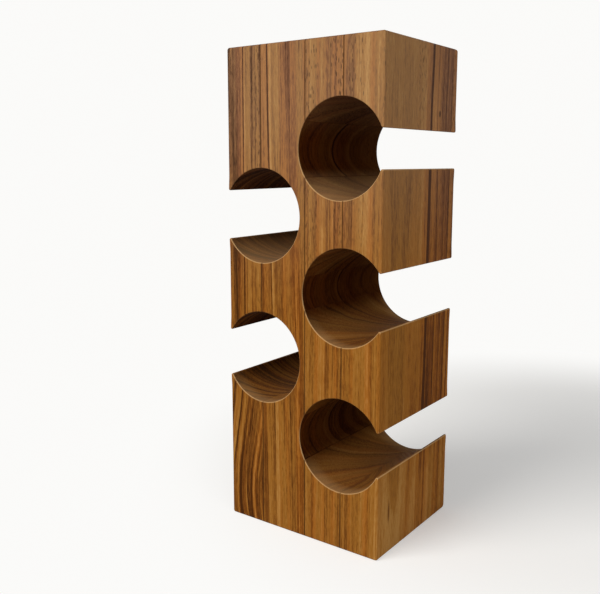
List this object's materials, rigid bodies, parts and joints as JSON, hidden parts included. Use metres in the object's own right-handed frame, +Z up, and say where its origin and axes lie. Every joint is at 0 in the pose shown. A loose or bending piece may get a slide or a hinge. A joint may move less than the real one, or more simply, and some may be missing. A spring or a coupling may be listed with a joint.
{
  "type": "wooden wine rack",
  "caption": "Upright wine rack glued up from thick wooden boards, with round bores from front to back that hold bottles lying down and open through its sides.",
  "frame": {"origin": "middle of the base, on the surface that the rack stands on", "axes": "+Z up along the grain, +X to the right and -Y out of the front face, as seen from the front"},
  "size_m": [0.185, 0.15, 0.5],
  "materials": {
    "left_outer_wood": "oiled satin, upright grain",
    "spine_wood": "oiled satin, upright grain",
    "right_inner_wood": "oiled satin, upright grain",
    "right_outer_wood": "oiled satin, upright grain"
  },
  "bodies": {
    "root": {"left_outer_board_bottom": "left_outer_wood", "left_outer_board_middle": "left_outer_wood", "left_outer_board_top": "left_outer_wood", "spine_board": "spine_wood", "right_inner_board_bottom": "right_inner_wood", "right_inner_board_lower": "right_inner_wood", "right_inner_board_upper": "right_inner_wood", "right_inner_board_top": "right_inner_wood", "right_outer_board_bottom": "right_outer_wood", "right_outer_board_lower": "right_outer_wood", "right_outer_board_upper": "right_outer_wood", "right_outer_board_top": "right_outer_wood"}
  },
  "joints": []
}
